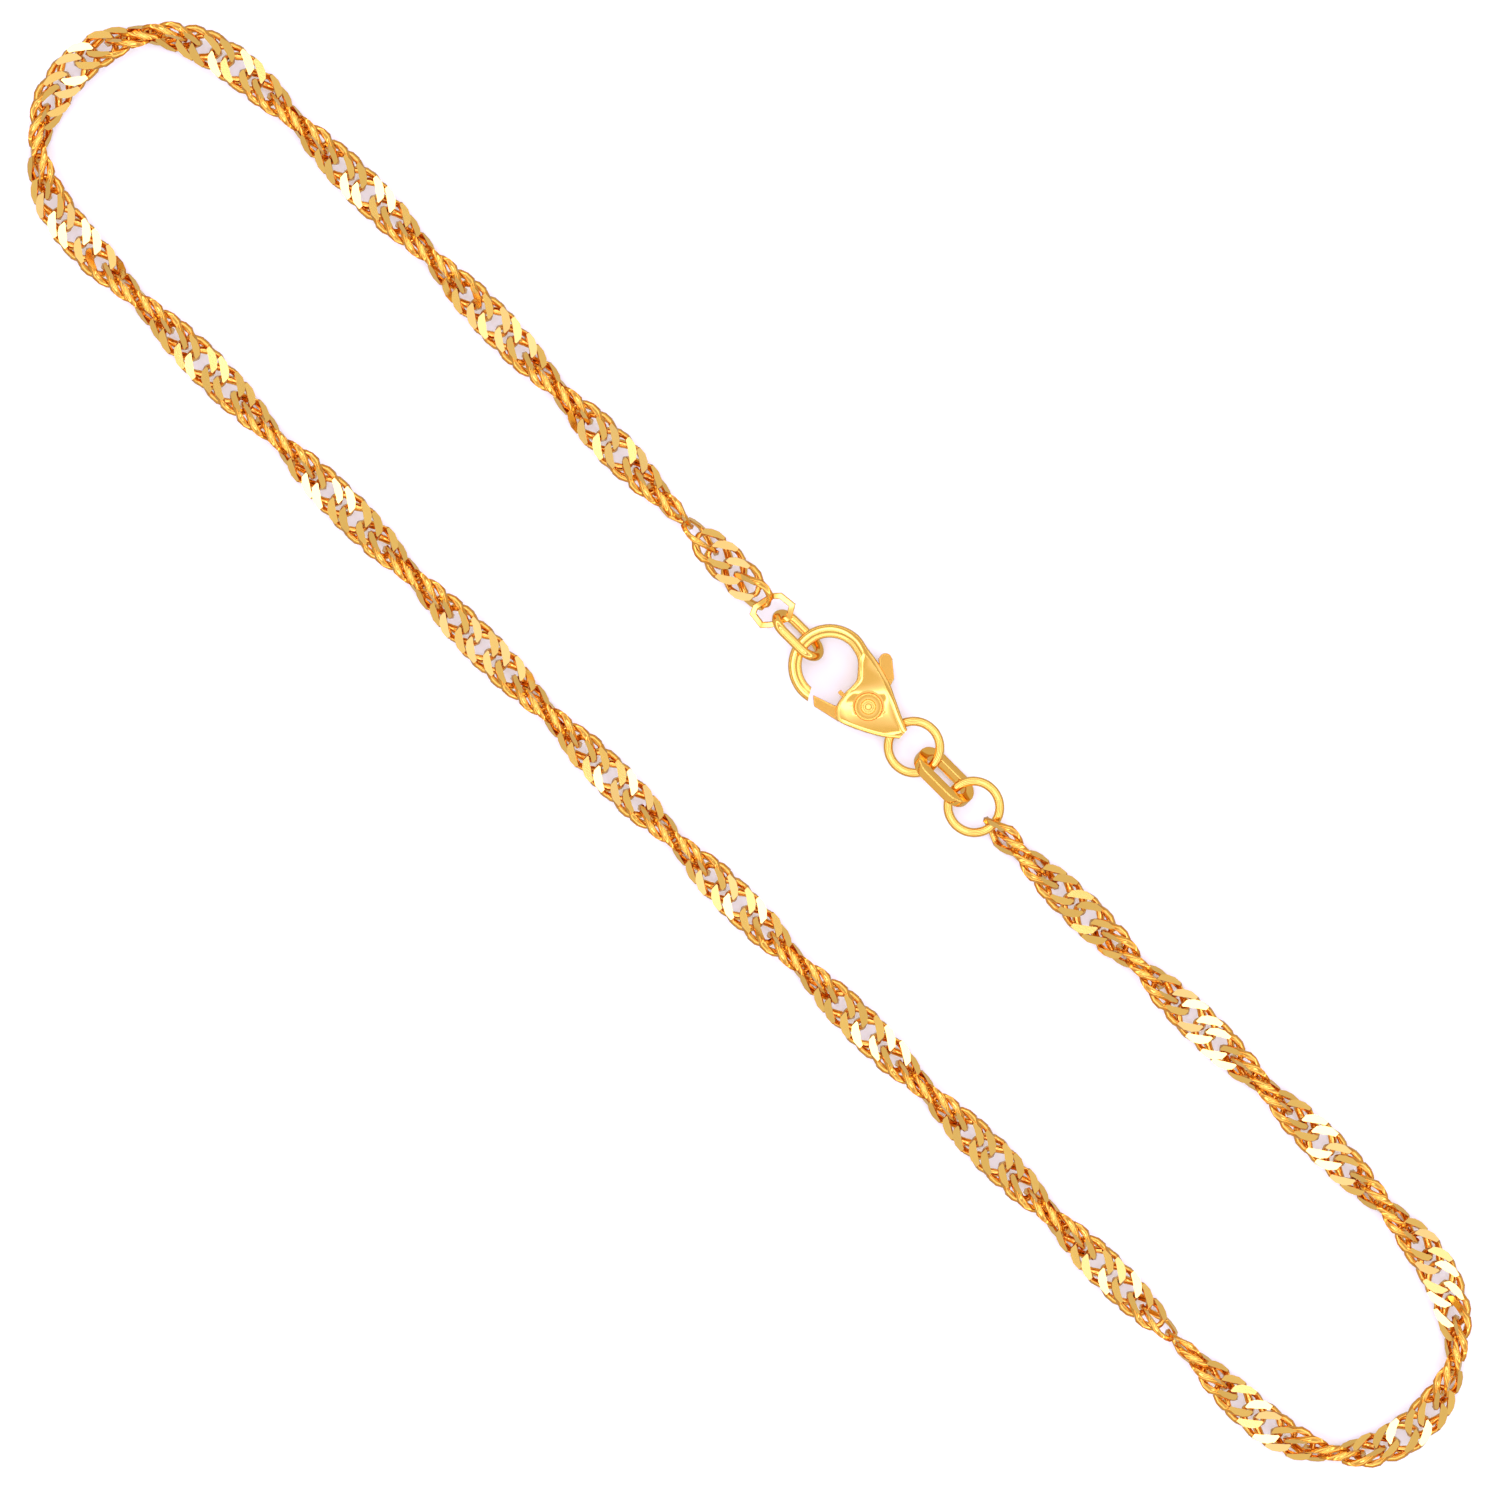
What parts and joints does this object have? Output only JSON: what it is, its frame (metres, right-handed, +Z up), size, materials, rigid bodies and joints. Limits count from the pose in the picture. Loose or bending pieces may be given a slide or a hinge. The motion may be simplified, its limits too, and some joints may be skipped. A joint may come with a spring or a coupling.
{
  "type": "singapore chain necklace",
  "caption": "Loop of flat oval links twisted along their line, closed by a lobster clasp with an oval connector ring, a heavy link and round jump rings; worn round the neck.",
  "frame": {"origin": "on the surface that the necklace lies on, under the middle of the loop", "axes": "+X along the loop, towards the side of the last jump ring; +Y across the loop, towards the strand that carries the clasp; +Z up from the surface"},
  "size_m": [0.2045, 0.0318, 0.0041],
  "materials": {
    "chain_gold": "bright yellow gold, flat cut facets",
    "polished_gold": "polished cast yellow gold",
    "satin_gold": "yellow gold with a slightly duller pressed surface"
  },
  "bodies": {
    "necklace": {"chain": "chain_gold", "chain_end_link": "chain_gold", "connector_ring": "polished_gold", "clasp_body": "polished_gold", "clasp_rivet": "polished_gold", "spring_end": "satin_gold", "jump_ring_a": "polished_gold", "oval_link": "polished_gold", "jump_ring_b": "polished_gold"},
    "lever": {"clasp_lever": "satin_gold"}
  },
  "joints": [
    {"name": "lever_hinge", "type": "hinge", "parent": "necklace", "child": "lever", "pos_m": [0.00609, 0.0114, 0.002], "axis": [0, 0, 1], "range_deg": [-20, 0], "stiffness_Nm_per_rad": 0.004, "springref_deg": 8.59}
  ]
}
